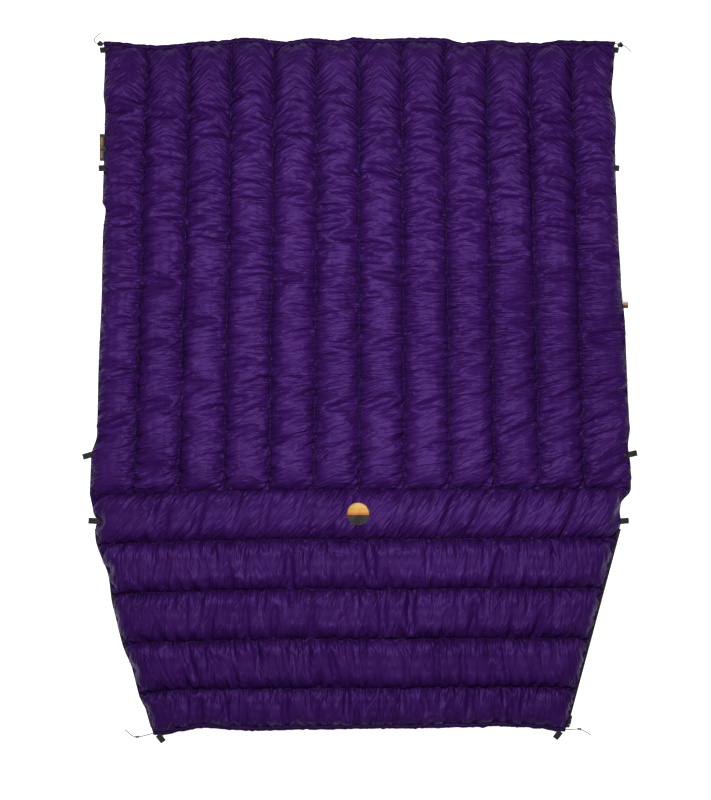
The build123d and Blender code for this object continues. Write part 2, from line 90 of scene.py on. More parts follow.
# How far the laid-out quilt's outline stands off its straight cut, in millimetres.
# Sides: distance from the head in metres, then the offset, outwards.
LEFT_WAVE = (
    (0, 0), (0.04, -5), (0.09, -5), (0.14, -4), (0.19, -10), (0.34, -11), (0.43, -11), (0.452, -20),
    (0.52, -15), (0.70, -17), (0.86, -15), (1.06, -17), (1.12, -3), (1.21, -3), (1.27, -1),
    (1.288, -8), (1.31, 7), (1.36, 14), (1.44, 5), (1.53, 15), (1.63, 17), (1.70, 8), (1.77, 9),
    (1.81, 1), (1.88, 0),
)
RIGHT_WAVE = (
    (0, -2), (0.03, -2), (0.06, -5), (0.14, -13), (0.22, -4), (0.30, -9), (0.37, -10), (0.52, -8),
    (0.65, -5), (0.78, 2), (0.95, 3), (1.05, 5), (1.10, -1), (1.16, 4), (1.22, 3), (1.25, -14), (1.27, -12),
    (1.31, 0), (1.88, 0),  # straight along the zip
)
# Ends: distance from the middle in metres, then the offset towards the head.
HEAD_WAVE = (
    (-0.69, 0), (-0.545, -10), (-0.40, 1), (-0.30, 10), (-0.20, 1), (-0.133, 9), (-0.058, 3), (-0.01, 11),
    (0.053, 7), (0.148, 10), (0.223, 9), (0.28, -3), (0.372, 4), (0.43, -3), (0.49, -4), (0.545, 3),
    (0.69, 0),
)
FOOT_WAVE = (
    (-0.56, -9), (-0.525, -9), (-0.485, 1), (-0.425, 10), (-0.35, 5), (-0.29, 2), (-0.16, 5), (0.1, 8),
    (0.33, 12), (0.37, 15), (0.44, 12), (0.50, 7), (0.53, 1), (0.56, 0),
)
# The cross seams: share of the half width, then the offset towards the head.
SEAM_DROOP = ((-1, -15), (-0.8, -9), (-0.5, -2), (-0.2, 1), (0.1, 0), (0.4, 3), (0.7, 2), (1, 5))


def smooth_line(points, at):
    """A smooth line through (place, millimetres) points, in metres."""
    places, values = np.array(points, float).T
    share = np.interp(at, places, np.arange(len(places)))
    start = np.clip(np.floor(share).astype(int), 0, len(places) - 2)
    part = share - start
    part = part * part * (3 - 2 * part)
    return (values[start] * (1 - part) + values[start + 1] * part) / 1000


def half_width(y):
    """Half the width of the cut at y."""
    body = HEAD_HALF + (WAIST_HALF - HEAD_HALF) * (HEAD_Y - y) / BODY_LENGTH
    foot = WAIST_HALF + (FOOT_HALF - WAIST_HALF) * (WAIST_Y - y) / FOOT_LENGTH
    return np.where(y >= WAIST_Y, body, foot)


def edge_x(side, y):
    """The laid-out quilt's side edge at y."""
    wave = LEFT_WAVE if side < 0 else RIGHT_WAVE
    return side * (half_width(y) + smooth_line(wave, HEAD_Y - y))


def head_y(x):
    """Top edge at x."""
    return HEAD_Y + smooth_line(HEAD_WAVE, x)


def foot_y(x):
    """Bottom edge at x."""
    return FOOT_Y + smooth_line(FOOT_WAVE, x)


def link(obj):
    """Puts a new object in the scene."""
    bpy.context.scene.collection.objects.link(obj)
    return obj


# ---- camera, straight above ----
CAMERA_PLACE = (-0.0103, -0.0245, 5.12)
CAMERA_LENS = 85  # millimetres, on a 36 mm sensor


def make_camera():
    data = bpy.data.cameras.new("camera")
    data.lens = CAMERA_LENS
    data.sensor_width = 36
    camera = link(bpy.data.objects.new("camera", data))
    camera.location = CAMERA_PLACE
    bpy.context.scene.camera = camera


make_camera()


# ---- free cords: (outward, along Y, height) from the channel's mouth, in metres ----
HEAD_TAIL_RIGHT = (
    (0, 0, 0), (0.014, -0.0032, -0.0001), (0.028, -0.0064, -0.0002), (0.044, -0.0225, -0.0022),
)
HEAD_TAIL_LEFT = (
    (0, 0, 0), (0.012, -0.0002, 0), (0.0195, -0.0003, 0), (0.027, 0.0065, -0.0006),
    (0.0225, 0.017, -0.0015), (0.0085, 0.0285, -0.0023),
)
FOOT_TAIL_RIGHT = (
    (0, 0, 0), (0.014, 0.0002, -0.0002), (0.031, 0.0026, 0.0007), (0.0465, 0.001, 0.0004),
    (0.070, -0.015, -0.0023),
)
FOOT_TAIL_LEFT = (
    (0, 0, 0), (0.015, -0.0075, -0.0003), (0.035, -0.0155, 0.0007), (0.051, -0.0195, 0.0004),
    (0.065, -0.012, -0.0016), (0.077, 0, -0.0023),
)


def cord_curve(name, points, material):
    """A cord as a smooth open spline."""
    curve = bpy.data.curves.new(name, "CURVE")
    curve.dimensions = "3D"
    curve.bevel_depth = CORD_DIAMETER / 2
    curve.bevel_resolution = 4
    curve.resolution_u = 16
    curve.use_fill_caps = True
    spline = curve.splines.new("NURBS")
    spline.points.add(len(points) - 1)
    for point, place in zip(spline.points, points):
        point.co = (*place, 1)
    spline.order_u = 3
    spline.use_endpoint_u = True
    curve.materials.append(MATERIALS[material])
    return link(bpy.data.objects.new(name, curve))


def tail_points(tail, side, hem, drop):
    """A tail's control points. drop is how far its channel's mouth hangs, and fades out along the tail."""
    mouth_y = (hem[0].y + hem[1].y) / 2
    fade = [max(0.0, 1 - i / 3) for i in range(len(tail))]
    return [
        Vector((side * (hem[1].x + u), mouth_y + v - drop * f, CORD_Z + w))
        for (u, v, w), f in zip(tail, fade)
    ]


# ---- node materials ----
class Nodes:
    """Short names for building one material's nodes."""

    def __init__(self, name, rough=0.5, metal=0.0, **sockets):
        self.material = bpy.data.materials.new(name)
        self.material.use_nodes = True
        self.tree = self.material.node_tree
        self.shader = self.tree.nodes["Principled BSDF"]
        self.set("Roughness", rough)
        self.set("Metallic", metal)
        for socket, value in sockets.items():
            self.set(socket.replace("_", " "), value)

    def set(self, socket, value):
        self.shader.inputs[socket].default_value = value

    def node(self, kind, inputs=None, **settings):
        node = self.tree.nodes.new(kind)
        for name, value in settings.items():
            setattr(node, name, value)
        for name, value in (inputs or {}).items():
            if isinstance(value, bpy.types.NodeSocket):
                self.tree.links.new(value, node.inputs[name])
            else:
                node.inputs[name].default_value = value
        return node

    def place(self, scale=(1, 1, 1)):
        """Object coordinates, in metres, scaled."""
        coordinates = self.node("ShaderNodeTexCoord").outputs["Object"]
        return self.node("ShaderNodeMapping", {"Vector": coordinates, "Scale": scale}).outputs[0]

    def noise(self, scale, detail=3, stretch=(1, 1, 1), rough=0.5, distort=0.0):
        inputs = {"Vector": self.place(stretch), "Scale": scale, "Detail": detail, "Roughness": rough}
        inputs["Distortion"] = distort
        return self.node("ShaderNodeTexNoise", inputs).outputs["Fac"]

    def wave(self, scale, direction="X", profile="SIN", distort=0.0, stretch=(1, 1, 1)):
        inputs = {"Vector": self.place(stretch), "Scale": scale, "Distortion": distort}
        settings = {"wave_type": "BANDS", "bands_direction": direction, "wave_profile": profile}
        return self.node("ShaderNodeTexWave", inputs, **settings).outputs["Fac"]

    def mix(self, share, a, b):
        """Colour a turned into colour b by share. 6 and 7 are the node's colour sockets."""
        return self.node("ShaderNodeMix", {0: share, 6: a, 7: b}, data_type="RGBA").outputs[2]

    def math(self, operation, a, b=0.0):
        return self.node("ShaderNodeMath", {0: a, 1: b}, operation=operation).outputs[0]

    def ramp(self, value, stops, blend="LINEAR"):
        node = self.node("ShaderNodeValToRGB", {"Fac": value})
        node.color_ramp.interpolation = blend
        elements = node.color_ramp.elements
        while len(elements) < len(stops):
            elements.new(0.5)
        for element, (place, color) in zip(elements, stops):
            element.position = place
            element.color = (*color, 1)
        return node.outputs["Color"]

    def span(self, value, low, high):
        """0 to 1 turned into low to high."""
        return self.node("ShaderNodeMapRange", {"Value": value, "To Min": low, "To Max": high}).outputs[0]

    def bump(self, height, distance, strength=1.0, under=None):
        inputs = {"Height": height, "Distance": distance, "Strength": strength}
        if under is not None:
            inputs["Normal"] = under
        return self.node("ShaderNodeBump", inputs).outputs["Normal"]

    def feed(self, socket, output):
        self.tree.links.new(output, self.shader.inputs[socket])


def nylon(name, dark, mid, light, rough, along="Y"):
    """Calendered ripstop taffeta: fine weave, faint mottling, small creases across the seams, with painted
    shade that darkens the seam valleys and the fold hollows near the seams.
    """
    m = Nodes(name, rough, Sheen_Weight=0.04, Sheen_Roughness=0.4, Specular_IOR_Level=0.42)
    m.set("Sheen Tint", (0.45, 0.25, 0.8, 1))
    m.set("Specular Tint", (0.5, 0.24, 0.95, 1))
    near_seam = m.node("ShaderNodeAttribute", attribute_name="seam_near").outputs["Fac"]
    cloth = m.ramp(m.noise(5.5, 4, rough=0.6), ((0.3, dark), (0.52, mid), (0.74, light)))
    # shade: the nylon's dark colour at a quarter, the colour of the painted shade below.
    shade = (*(c * 0.25 for c in dark), 1)
    # Painted shade along each seam valley: the cloth colour darkens towards the stitch line.
    seam_painted_shade = m.math("MULTIPLY", m.math("POWER", near_seam, 9.0), 0.75)
    cloth = m.mix(seam_painted_shade, cloth, shade)
    m.feed("Roughness", m.span(m.noise(38, 4), rough - 0.07, rough + 0.09))
    weave = m.math("ADD", m.wave(420, "X"), m.wave(420, "Y"))
    fine = m.bump(weave, 0.00006, 0.5)
    stretch = (0.28, 1, 1) if along == "Y" else (1, 0.28, 1)
    creases = m.noise(95, 2.5, stretch, rough=0.5, distort=0.35)
    puckers = m.math("MULTIPLY", m.noise(210, 3, stretch, distort=0.2), near_seam)
    normal = m.bump(creases, 0.0018, 0.35, fine)
    place = m.node("ShaderNodeAttribute", attribute_name="fold").outputs["Vector"]
    fan = {"Vector": place, "Scale": 1.0, "Detail": 1.6, "Roughness": 0.55, "Distortion": 1.0}
    fans = m.node("ShaderNodeTexNoise", fan).outputs["Fac"]
    # Painted shade in the fold hollows, strongest near the seams: the cloth colour turns to the shade
    # colour where the folds dip.
    fold_painted_shade = m.math("MAXIMUM", m.math("MULTIPLY", m.math("SUBTRACT", 0.5, fans), 4.0), 0.0)
    fold_painted_shade = m.math("MULTIPLY", m.math("MINIMUM", fold_painted_shade, 1.0), m.span(near_seam, 0.2, 0.75))
    m.feed("Base Color", m.mix(fold_painted_shade, cloth, shade))
    fans = m.math("MULTIPLY", fans, m.span(near_seam, 0.4, 1.7))
    normal = m.bump(fans, 0.015, 1.0, normal)
    m.feed("Normal", m.bump(puckers, 0.0025, 0.8, normal))
    return m.material


def lining_cloth():
    m = Nodes("lining_nylon", 0.62, Sheen_Weight=0.15)
    m.feed("Base Color", m.ramp(m.noise(7, 4), ((0.3, (0.016, 0.016, 0.02)), (0.7, (0.03, 0.03, 0.036)))))
    weave = m.math("ADD", m.wave(420, "X"), m.wave(420, "Y"))
    m.feed("Normal", m.bump(m.noise(60, 4), 0.001, 0.5, m.bump(weave, 0.00006, 0.5)))
    return m.material


def down():
    m = Nodes("insulation", 0.95, Sheen_Weight=0.4, Subsurface_Weight=0.1)
    m.feed("Base Color", m.ramp(m.noise(60, 5), ((0.3, (0.62, 0.6, 0.56)), (0.7, (0.86, 0.85, 0.82)))))
    m.feed("Normal", m.bump(m.noise(160, 6, rough=0.7), 0.003, 0.9))
    return m.material


def ribbed(name, dark, light, pitch, direction="X", rough=0.75):
    """Woven ribbon with ribs across it."""
    m = Nodes(name, rough, Sheen_Weight=0.25, Sheen_Roughness=0.5)
    ribs = m.wave(pitch, direction, distort=0.15)
    mottled = m.math("MULTIPLY_ADD", m.noise(900, 2), 0.4)
    m.feed("Base Color", m.ramp(m.math("MULTIPLY", ribs, mottled), ((0.1, dark), (0.8, light))))
    m.feed("Normal", m.bump(m.noise(2600, 2), 0.00005, 0.5, m.bump(ribs, 0.00025, 0.8)))
    return m.material


def braid():
    m = Nodes("cord_braid", 0.7, Sheen_Weight=0.3)
    weave = m.math("MULTIPLY", m.wave(330, "DIAGONAL"), m.wave(330, "DIAGONAL", stretch=(-1, 1, 1)))
    m.feed("Base Color", m.ramp(weave, ((0.0, (0.02, 0.02, 0.022)), (0.55, (0.09, 0.09, 0.095)))))
    m.feed("Normal", m.bump(weave, 0.0003, 0.9))
    return m.material


def moulded(name, color, rough=0.42):
    """Injection moulded plastic with a fine grain."""
    m = Nodes(name, rough, Specular_IOR_Level=0.5)
    light = tuple(c * 2.2 + 0.004 for c in color)
    m.feed("Base Color", m.ramp(m.noise(300, 3), ((0.35, color), (0.8, light))))
    m.feed("Roughness", m.span(m.noise(500, 3), rough - 0.08, rough + 0.12))
    m.feed("Normal", m.bump(m.noise(2200, 2), 0.00004, 0.7))
    return m.material


def metal(name, color, rough, metallic):
    m = Nodes(name, rough, metallic)
    light = tuple(min(1, c * 1.5 + 0.01) for c in color)
    m.feed("Base Color", m.ramp(m.noise(400, 4, rough=0.65), ((0.4, color), (0.75, light))))
    m.feed("Roughness", m.span(m.noise(700, 3), rough - 0.1, rough + 0.15))
    m.feed("Normal", m.bump(m.noise(1500, 3, (0.2, 1, 1)), 0.00003, 0.6))
    return m.material


def woven_label(name, stops, direction="Y", scale=1.0, offset=0.0, within=None):
    """Satin label cloth in flat bands of colour. within is the bands' two sides, inside a dark frame."""
    m = Nodes(name, 0.55, Sheen_Weight=0.2)
    axis = m.node("ShaderNodeSeparateXYZ", {0: m.node("ShaderNodeTexCoord").outputs["Object"]})
    place = m.math("MULTIPLY_ADD", axis.outputs[direction], scale)
    m.tree.nodes[place.node.name].inputs[2].default_value = offset
    color = m.ramp(place, stops, "CONSTANT")
    if within:
        tests = zip(("GREATER_THAN", "LESS_THAN"), within)
        above, below = (m.math(test, axis.outputs["X"], x) for test, x in tests)
        color = m.mix(m.math("MULTIPLY", above, below), (*CHARCOAL, 1), color)
    m.feed("Base Color", color)
    weave = m.math("MULTIPLY", m.wave(700, "X"), m.wave(700, "Y"))
    m.feed("Normal", m.bump(weave, 0.00015, 0.7))
    return m.material


GOLD = (0.72, 0.36, 0.045)
ORANGE = (0.6, 0.17, 0.03)
CHARCOAL = (0.02, 0.018, 0.017)
CREAM = (0.6, 0.5, 0.38)
LABEL_BANDS = (
    (0.0, CHARCOAL), (0.1, (0.2, 0.13, 0.08)), (0.36, CHARCOAL), (0.44, (0.16, 0.07, 0.02)),
    (0.6, (0.28, 0.15, 0.03)), (0.88, CHARCOAL),
)
TAG_BANDS = ((0.0, CHARCOAL), (0.45, ORANGE), (0.75, CREAM))
PATCH_BANDS = ((0.0, CHARCOAL), (0.48, ORANGE), (0.58, GOLD), (0.78, (0.75, 0.45, 0.12)))
VIOLET_DARK = (0.03, 0.0046, 0.082)
VIOLET = (0.036, 0.0058, 0.095)
VIOLET_LIGHT = (0.042, 0.0076, 0.105)
# The hem channel's violet, the shell's dark violet at about half: painted shade over the gathered channel.
HEM_VIOLET_PAINTED_SHADE = (0.016, 0.0028, 0.044)
BLACK = (0.006, 0.006, 0.006)
MATERIALS = {
    "body": nylon("shell_nylon_body", VIOLET_DARK, VIOLET, VIOLET_LIGHT, 0.45, "Y"),
    "foot": nylon("shell_nylon_foot", VIOLET_DARK, VIOLET, VIOLET_LIGHT, 0.45, "X"),
    "lining": lining_cloth(),
    "fill": down(),
    "ribbon": ribbed("grosgrain", BLACK, (0.02, 0.02, 0.019), 260, "Y"),
    "tape": ribbed("zip_tape_cloth", (0.005, 0.005, 0.006), (0.018, 0.018, 0.02), 300, "DIAGONAL"),
    "cord": braid(),
    "thread": ribbed("thread", (0.012, 0.003, 0.03), (0.04, 0.012, 0.09), 900, "DIAGONAL", 0.6),
    "plastic": moulded("lock_plastic", (0.008, 0.008, 0.0085)),
    "snap": moulded("snap_plastic", (0.009, 0.009, 0.0095), 0.3),
    "coil": moulded("coil_plastic", (0.008, 0.008, 0.009), 0.36),
    # The channel is the shell's own nylon, darkened as painted shade.
    "channel": nylon("shell_nylon_hem_painted_shade", HEM_VIOLET_PAINTED_SHADE, HEM_VIOLET_PAINTED_SHADE, VIOLET_DARK, 0.55, "X"),
    "border": ribbed("border_thread", (0.02, 0.012, 0.01), (0.12, 0.07, 0.04), 700, "DIAGONAL", 0.6),
    "steel": metal("spring_steel", (0.5, 0.5, 0.51), 0.3, 1.0),
    "black_metal": metal("painted_metal", (0.01, 0.01, 0.011), 0.34, 0.0),
}
LABEL_REACH = 0.0115
TAG_REACH = 0.0135
LABEL_OUTER = float(edge_x(-1, np.array(0.66))) - LABEL_REACH
LABEL_WITHIN = (LABEL_OUTER + 0.0018, LABEL_OUTER + 0.0085)
MATERIALS["side_label"] = woven_label(
    "side_label_cloth", LABEL_BANDS, "Y", 1 / 0.073, -0.62325 / 0.073, LABEL_WITHIN
)
MATERIALS["small_tag"] = woven_label("small_tag_cloth", TAG_BANDS, "Y", 1 / 0.019, -0.22405 / 0.019)
MATERIALS["patch"] = woven_label("patch_cloth", PATCH_BANDS, "Y", 1 / 0.06, 0.3624 / 0.06)


def make_mesh(name, vertices, faces, material, smooth=True, seam_near=None, fold=None):
    """A new piece from points and faces. material is its name in MATERIALS."""
    mesh = bpy.data.meshes.new(name)
    vertices = np.asarray(vertices, np.float32).reshape(-1, 3)
    mesh.from_pydata(vertices.tolist(), [], [tuple(f) for f in faces])
    mesh.polygons.foreach_set("use_smooth", [smooth] * len(mesh.polygons))
    if seam_near is not None:
        attribute = mesh.attributes.new("seam_near", "FLOAT", "POINT")
        attribute.data.foreach_set("value", np.asarray(seam_near, np.float32).ravel())
    if fold is not None:
        attribute = mesh.attributes.new("fold", "FLOAT_VECTOR", "POINT")
        attribute.data.foreach_set("vector", np.asarray(fold, np.float32).ravel())
    mesh.materials.append(MATERIALS[material])
    mesh.update()
    return link(bpy.data.objects.new(name, mesh))


def quads(index):
    """Faces of a grid of point numbers."""
    return np.stack([index[:-1, :-1], index[1:, :-1], index[1:, 1:], index[:-1, 1:]], -1).reshape(-1, 4)


def closed_sheet(name, top, bottom, material, seam_near=None, fold=None):
    """Two grids of points joined all round their edges."""
    rows, columns = top.shape[:2]
    upper = np.arange(rows * columns).reshape(rows, columns)
    lower = upper + rows * columns
    rim = np.concatenate([upper[0, :-1], upper[:-1, -1], upper[-1, :0:-1], upper[:0:-1, 0], upper[0, :1]])
    under = rim + rows * columns
    walls = np.stack([rim[:-1], rim[1:], under[1:], under[:-1]], -1)
    faces = np.concatenate([quads(upper), quads(lower)[:, ::-1], walls])
    if seam_near is not None:
        seam_near = np.stack([seam_near, seam_near])
        fold = np.stack([fold, fold])
    return make_mesh(name, np.stack([top, bottom]), faces, material, seam_near=seam_near, fold=fold)


def normals_of(grid):
    """Unit normals of a grid, upwards."""
    n = np.cross(np.gradient(grid, axis=0), np.gradient(grid, axis=1))
    return n * np.sign(n[..., 2].mean()) / (np.linalg.norm(n, axis=-1, keepdims=True) + 1e-12)


def patches(shape, cells):
    """Smooth random field with about that many cells each way, mostly from -1 to 1."""
    knots = random.normal(0, 0.6, (int(cells[0]) + 2, int(cells[1]) + 2))
    rows = np.linspace(0, knots.shape[0] - 1.001, shape[0])
    columns = np.linspace(0, knots.shape[1] - 1.001, shape[1])
    i, j = rows.astype(int), columns.astype(int)
    fi, fj = (rows - i)[:, None], (columns - j)[None]
    fi, fj = fi * fi * (3 - 2 * fi), fj * fj * (3 - 2 * fj)
    upper = knots[i][:, j] * (1 - fj) + knots[i][:, j + 1] * fj
    lower = knots[i + 1][:, j] * (1 - fj) + knots[i + 1][:, j + 1] * fj
    return upper * (1 - fi) + lower * fi


def slanted(field, slope, axis=1):
    """A field whose folds lean: slid along its other axis by slope points for each step along axis."""
    shift = np.round(np.cumsum(np.broadcast_to(slope, field.shape[axis]))).astype(int)
    rows, columns = np.indices(field.shape)
    if axis == 1:
        return field[(rows + shift[None]) % field.shape[0], columns]
    return field[rows, (columns + shift[:, None]) % field.shape[1]]


def creased(field):
    """Turns a smooth field into narrow creases with rounded cloth between them."""
    return 0.7 * field - np.exp(-((field / 0.22) ** 2))


# ---- cloth simulation: a grid of cloth, sewn down along its seams and filled from below ----
def thread_sets(plan, free, full_x, full_y, shear, bend):
    """Every thread of the cloth as pairs of grid slices, with its cut length and its points' shares."""
    rows, columns = free.shape
    found = []

    def pairs(reach, first, step, stiffness, only_short, mirrored=False):
        """Threads from every step-th point, from first on, to the points reach rows and columns away."""
        (di, dj), (i, j), (step_i, step_j) = reach, first, step
        left, right = slice(j, columns - dj, step_j), slice(j + dj, columns, step_j)
        if mirrored:
            left, right = right, left
        near, far = (slice(i, rows - di, step_i), left), (slice(i + di, rows, step_i), right)
        step = plan[far] - plan[near]
        fx, fy = (full_x[near] + full_x[far]) / 2, (full_y[near] + full_y[far]) / 2
        slant = (shear[near] + shear[far]) / 2
        dx, dy = step[..., 0], step[..., 1]
        length = np.sqrt(np.maximum((fx * dx) ** 2 + (fy * dy) ** 2 - 2 * slant * dx * dy, 1e-10))
        total = free[near] + free[far] + 1e-9
        found.append((near, far, length.astype(np.float32), np.float32(stiffness), only_short,
                      (free[near] / total)[..., None].astype(np.float32),
                      (free[far] / total)[..., None].astype(np.float32)))

    for reach, stiffness in ((1, 1.0), (2, bend), (4, 0.6 * bend)):
        starts = [a + b for a in range(reach) for b in (0, reach)]
        for start in starts:
            pairs((0, reach), (0, start), (1, 2 * reach), stiffness, reach > 1)
        for start in starts:
            pairs((reach, 0), (start, 0), (2 * reach, 1), stiffness, reach > 1)
    for start in ((0, 0), (0, 1), (1, 0), (1, 1)):
        pairs((1, 1), start, (2, 2), 0.5, False)
        pairs((1, 1), start, (2, 2), 0.5, False, mirrored=True)
    return found


def settle(start, threads, free, push):
    """Lets the cloth fill out and crease. push is the fill's pressure at each point."""
    points = start.astype(np.float32)
    before = points.copy()
    loose = free[..., None].astype(np.float32)
    push = push[..., None].astype(np.float32)
    for _ in range(STEPS):
        moved = (points - before) * DAMPING
        before = points.copy()
        points = points + (moved + normals_of(points) * push).astype(float) * loose
        for _ in range(ROUNDS):
            for near, far, length, stiffness, only_short, share_near, share_far in threads:
                gap = points[far] - points[near]
                size = np.sqrt(np.einsum("ijk,ijk->ij", gap, gap)) + 1e-9
                pull = stiffness * (1 - length / size)
                if only_short:
                    pull = np.minimum(pull, 0)
                gap *= pull[..., None]
                points[near] += gap * share_near
                points[far] -= gap * share_far
        points[..., 2] = np.maximum(points[..., 2], LOWEST_CLOTH)
    return points


def tame_height(grid):
    """Keeps the crowns under the quilt's loft."""
    high = grid[..., 2] - 0.75 * LOFT_TOP
    room = 0.25 * LOFT_TOP
    grid[..., 2] = np.where(high > 0, 0.75 * LOFT_TOP + room * np.tanh(high / room), grid[..., 2])
    return grid


PER_BODY = 28  # columns of cloth in each body chamber
PER_ROW = 0.0040  # metres between rows
STEPS = 62
ROUNDS = 6
DAMPING = 0.92
LOWEST_CLOTH = 0.0018
BEND = 0.22
BODY_PUSH = 0.00015
FOOT_PUSH = 0.00017
BODY_BULGE = 0.024
FOOT_BULGE = 0.027
FOLD_DEPTH = 0.0042


def crowd(part):
    """Moves shares from 0 to 1 towards both ends, where the cloth dives into a seam."""
    return part - 0.1 * np.sin(2 * np.pi * part)


def body_plan():
    """Grid of the body's outer cloth, laid flat: rows from the head, columns from the left."""
    rows = int((BODY_LENGTH - HEM_DEPTH) / PER_ROW) + 1
    columns = BODY_CHAMBERS * PER_BODY + 1
    down = np.linspace(0, 1, rows)[:, None]
    seam = np.arange(BODY_CHAMBERS + 1) - BODY_CHAMBERS / 2
    y_guess = HEAD_Y - HEM_DEPTH - (BODY_LENGTH - HEM_DEPTH) * down[:, 0]
    lines = seam[None] * (HEAD_PITCH * (1 - down) + WAIST_PITCH * down)
    lines[:, 0] = edge_x(-1, y_guess)
    lines[:, -1] = edge_x(1, y_guess)
    lines[:, 1:-1] += patches((rows, BODY_CHAMBERS - 1), (14, 5)) * 0.0022
    at = np.arange(columns) / PER_BODY
    chamber = np.minimum(at.astype(int), BODY_CHAMBERS - 1)
    part = crowd(at - chamber)
    x = lines[:, chamber] * (1 - part) + lines[:, chamber + 1] * part
    top = head_y(x) - HEM_DEPTH * 0.9
    low = WAIST_Y + smooth_line(SEAM_DROOP, x / WAIST_HALF)
    y = top * (1 - down) + low * down
    return np.stack([x, y, np.zeros_like(x)], -1), part


def foot_plan(waist):
    """Grid of the foot's outer cloth: rows from the cross seam, waist, and the body's columns."""
    waist_x = np.linspace(waist[0, 0], waist[-1, 0], len(waist))
    levels = [WAIST_Y - i * FOOT_PITCH for i in range(FOOT_CHAMBERS)] + [FOOT_Y + HEM_DEPTH * 0.9]
    counts = [max(4, int((a - b) / PER_ROW)) for a, b in zip(levels, levels[1:])]
    rows, part, number = [], [], []
    share = waist_x / np.where(waist_x < 0, -edge_x(-1, np.array(WAIST_Y)), edge_x(1, np.array(WAIST_Y)))
    for k, (upper, lower, count) in enumerate(zip(levels, levels[1:], counts)):
        for i in range(count + (k == FOOT_CHAMBERS - 1)):
            part.append(float(crowd(i / count)))
            rows.append(upper + (lower - upper) * part[-1])
            number.append(k)
    rows = np.array(rows)
    right = edge_x(1, rows)[:, None]
    left = edge_x(-1, rows)[:, None]
    x = np.where(share[None] < 0, -share[None] * left, share[None] * right)
    droop = (np.interp(waist_x, waist[:, 0], waist[:, 1]) - WAIST_Y)[None]
    below = (WAIST_Y - rows) / FOOT_LENGTH
    ending = smooth_line(FOOT_WAVE, x[-1])[None]
    late = np.clip((below - 0.72) / 0.26, 0, 1)[:, None]
    late = late * late * (3 - 2 * late)
    y = rows[:, None] + droop * (1 - 0.35 * below[:, None]) * (1 - late) + ending * late
    y += patches(y.shape, (14, 10)) * 0.0015 * (np.array(part) > 0)[:, None] * (1 - late)
    return np.stack([x, y, np.zeros_like(x)], -1), np.array(part), np.array(number), counts


def crumpled(cloth, creases, part, ends, bulge, cells, free):
    """Settled cloth with its small creases, deepest near the seams."""
    depth = creased(creases) * np.clip(np.minimum(part, 1 - part) / 0.06, 0, 1) * ends
    lively = np.clip(0.75 + 0.5 * patches(free.shape, cells), 0.2, 1.4) * (1.25 - 0.8 * bulge)
    return tame_height(cloth + normals_of(cloth) * (CRUMPLE * depth * lively * free)[..., None])


def simulate_body():
    """The body's outer cloth, filled and creased."""
    plan, part = body_plan()
    rows, columns = plan.shape[:2]

    def wander(*cells):
        return patches((rows, columns), cells)

    down = np.linspace(0, 1, rows)[:, None]
    bulge = np.sin(np.pi * part)[None] ** 0.8
    ends = np.clip(np.minimum(down, 1 - down) * 30, 0, 1)
    near_head = np.clip(1.15 - down / 0.36, 0, 1)
    near_waist = np.clip((down - 0.55) / 0.25, 0, 1)
    arch = np.where(part < 0.5, 1.0, -1.0)

    def folds(tall, wide):
        lean = 110 / PER_BODY * PER_ROW**-1 / 1000  # rows for each column, where a fold lies at 45 degrees
        arched = slanted(wander(rows / tall, columns / wide), arch * lean * 0.75)
        level = slanted(wander(rows / tall, columns / wide), 0.12 * lean * arch)
        leaning = slanted(wander(rows / tall / 1.3, columns / wide), lean * 0.8)
        middle = np.clip(1 - near_head - near_waist, 0, 1)
        return arched * near_head + level * middle + leaning * near_waist

    start = plan.copy()
    start[..., 2] = SEAM_Z + (BODY_BULGE * bulge + FOLD_DEPTH * folds(4.2, 13) * bulge**0.5) * ends
    free = np.ones((rows, columns))
    free[:, ::PER_BODY] = 0
    free[0] = free[-1] = 0
    start[:, 0, 2] = start[:, -1, 2] = EDGE_Z
    seam_lift = patches((rows, BODY_CHAMBERS + 1), (60, BODY_CHAMBERS)) * 0.0012
    start[:, PER_BODY:-1:PER_BODY, 2] += np.abs(seam_lift[:, 1:-1])
    full_x = FULL_ACROSS + 0.035 * wander(18, 24)
    full_y = FULL_ALONG + 0.045 * wander(26, 24)
    shear = 0.13 * near_head * arch[None] + 0.085 * near_waist + 0.075 * wander(22, 26)
    threads = thread_sets(plan, free, full_x, full_y, shear, BEND)
    push = BODY_PUSH * (1 + 0.6 * wander(20, 26))
    cloth = settle(start, threads, free, push)
    return crumpled(cloth, folds(3.4, 9), part[None], ends, bulge, (16, 24), free), part


